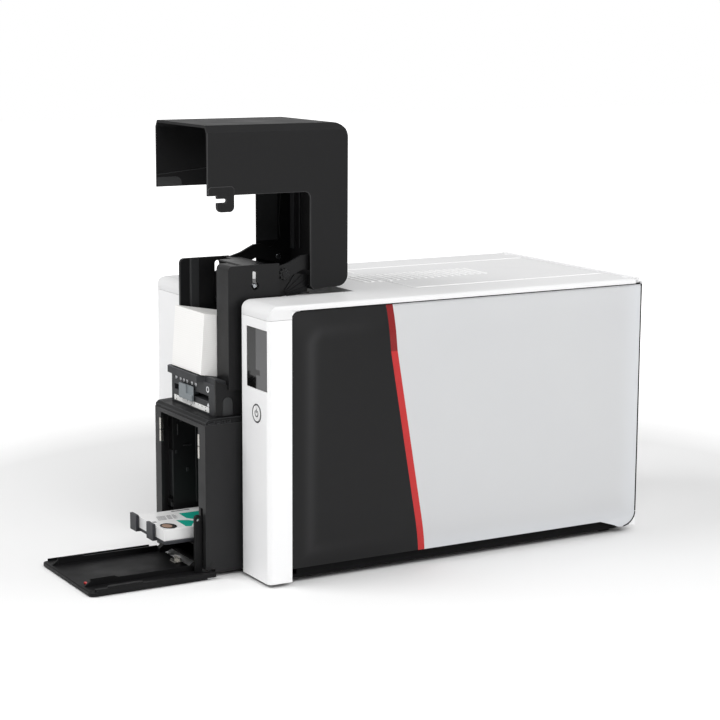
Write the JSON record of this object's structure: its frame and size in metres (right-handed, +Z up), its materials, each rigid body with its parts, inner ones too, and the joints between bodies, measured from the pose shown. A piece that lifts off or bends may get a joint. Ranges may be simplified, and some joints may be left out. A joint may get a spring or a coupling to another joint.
{
  "type": "id card printer",
  "caption": "Desktop plastic card printer with a raised feeder hood, an open output hopper with tray and fold-down door, a top lid and a side display.",
  "frame": {"origin": "middle of the body's footprint on the table, at the undersides of the feet", "axes": "+X to the right seen from the front, -Y out of the front (feeder side), +Z up"},
  "size_m": [0.205, 0.4833, 0.3528],
  "materials": {
    "white_casing": "fine moulded satin, white",
    "lid_white": "fine moulded satin, white",
    "grey_panel": "satin painted, light grey",
    "black_panel": "satin, near black",
    "red_stripe": "satin, signal red",
    "display_glass": "glossy dark window",
    "button_grey": "satin grey",
    "button_white": "satin white",
    "board_green": "solder resist green",
    "frame_steel": "black coated sheet",
    "supply_can": "plain folded sheet",
    "dark_base": "fine textured",
    "foot_rubber": "matt",
    "socket_black": "satin",
    "port_shell": "plated",
    "fan_black": "satin",
    "feeder_black": "fine moulded texture",
    "bridge_gloss": "smooth glossy dark grey",
    "gauge_grey": "satin dark grey",
    "scale_white": "printed scale",
    "slider_blue": "satin blue grey",
    "card_white": "blank PVC card edges",
    "card_print": "printed PVC card",
    "pin_steel": "ground steel",
    "clip_steel": "stamped spring steel",
    "hood_black": "fine moulded texture",
    "hopper_black": "fine moulded texture",
    "ledge_grey": "satin dark grey",
    "tray_grey": "satin dark grey",
    "head_metal": "cast and machined",
    "roller_rubber": "ground rubber on steel",
    "cleaning_rubber": "soft tacky elastomer",
    "gear_nylon": "natural nylon",
    "pinion_brass": "machined",
    "motor_black": "black coated",
    "ribbon_colour": "coloured film on a white core",
    "ribbon_used": "used film on a white core"
  },
  "bodies": {
    "printer": {"base_pan": "dark_base", "feet": "foot_rubber", "body_shell": "white_casing", "rear_cover": "white_casing", "side_panel_right": "grey_panel", "side_panel_left": "grey_panel", "front_panel_right": "black_panel", "front_panel_left": "black_panel", "accent_stripe_right": "red_stripe", "accent_stripe_left": "red_stripe", "display_module": "board_green", "display_window": "display_glass", "button_ring": "button_grey", "button_spring": "pin_steel", "mech_frame": "frame_steel", "main_board": "board_green", "power_supply": "supply_can", "fan_housing": "fan_black", "power_inlet": "socket_black", "usb_port": "port_shell", "network_port": "port_shell", "feeder_housing": "feeder_black", "feeder_bridge": "bridge_gloss", "gauge_block": "gauge_grey", "gauge_scale": "scale_white", "blank_cards": "card_white", "hinge_bracket_right": "feeder_black", "hinge_bracket_left": "feeder_black", "hood_hinge_pins": "pin_steel", "hood_stop_pin": "pin_steel", "hopper_housing": "hopper_black", "hopper_ledge": "ledge_grey", "hopper_clips": "clip_steel", "door_hinge_pins": "pin_steel", "lid_hinge_pins": "pin_steel", "card_motor": "motor_black", "ribbon_motor": "motor_black"},
    "hood": {"feeder_hood": "hood_black", "hood_hook": "hood_black"},
    "card_weight": {"card_weight": "feeder_black", "weight_pins": "pin_steel"},
    "slider": {"gauge_slider": "slider_blue"},
    "door": {"hopper_door": "hopper_black", "door_clip": "clip_steel"},
    "tray": {"card_tray": "tray_grey", "printed_cards": "card_print"},
    "button": {"power_button": "button_white"},
    "lid": {"top_lid": "lid_white", "lid_panel": "lid_white", "print_head": "head_metal"},
    "platen": {"platen_roller": "roller_rubber", "platen_gear": "gear_nylon"},
    "pinion": {"motor_pinion": "pinion_brass"},
    "pickup": {"pickup_roller": "roller_rubber"},
    "cleaner": {"cleaning_roller": "cleaning_rubber"},
    "ribbon_supply": {"supply_spool": "ribbon_colour"},
    "ribbon_takeup": {"takeup_spool": "ribbon_used"},
    "fan": {"fan_rotor": "fan_black"}
  },
  "joints": [
    {"name": "hood_hinge", "type": "hinge", "parent": "printer", "child": "hood", "pos_m": [0.00425, -0.09625, 0.23825], "axis": [1, 0, 0], "range_deg": [0, 90]},
    {"name": "lid_hinge", "type": "hinge", "parent": "printer", "child": "lid", "pos_m": [0, 0.1685, 0.216], "axis": [-1, 0, 0], "range_deg": [0, 65]},
    {"name": "door_hinge", "type": "hinge", "parent": "printer", "child": "door", "pos_m": [0.005, -0.2005, 0.01], "axis": [-1, 0, 0], "range_deg": [0, 90]},
    {"name": "tray_slide", "type": "slide", "parent": "printer", "child": "tray", "axis": [0, 1, 0], "range_m": [0, 0.036]},
    {"name": "weight_slide", "type": "slide", "parent": "printer", "child": "card_weight", "axis": [0, 0, 1], "range_m": [0, 0.0075]},
    {"name": "slider_slide", "type": "slide", "parent": "printer", "child": "slider", "axis": [1, 0, 0], "range_m": [-0.015, 0.03]},
    {"name": "button_press", "type": "slide", "parent": "printer", "child": "button", "axis": [0, 1, 0], "range_m": [0, 0.0012], "stiffness_N_per_m": 400, "springref_m": -0.002},
    {"name": "platen_spin", "type": "hinge", "parent": "printer", "child": "platen", "pos_m": [0.001, 0.02, 0.143], "axis": [1, 0, 0], "continuous": true},
    {"name": "pinion_spin", "type": "hinge", "parent": "printer", "child": "pinion", "pos_m": [0.07, 0.02, 0.1247], "axis": [1, 0, 0], "continuous": true},
    {"name": "pickup_spin", "type": "hinge", "parent": "printer", "child": "pickup", "pos_m": [0.00425, -0.128, 0.13742], "axis": [1, 0, 0], "continuous": true},
    {"name": "cleaner_spin", "type": "hinge", "parent": "printer", "child": "cleaner", "pos_m": [0.001, -0.05, 0.1572], "axis": [1, 0, 0], "continuous": true},
    {"name": "supply_spin", "type": "hinge", "parent": "printer", "child": "ribbon_supply", "pos_m": [0.001, 0.075, 0.178], "axis": [1, 0, 0], "continuous": true},
    {"name": "takeup_spin", "type": "hinge", "parent": "printer", "child": "ribbon_takeup", "pos_m": [0.001, -0.03, 0.178], "axis": [1, 0, 0], "continuous": true},
    {"name": "fan_spin", "type": "hinge", "parent": "printer", "child": "fan", "pos_m": [0.02, 0.168, 0.12], "axis": [0, 1, 0], "continuous": true}
  ],
  "couplings": [
    {"joint": "tray_slide", "follows": "door_hinge", "m_per_rad": 0.022918},
    {"joint": "pinion_spin", "follows": "platen_spin", "ratio": -2}
  ]
}
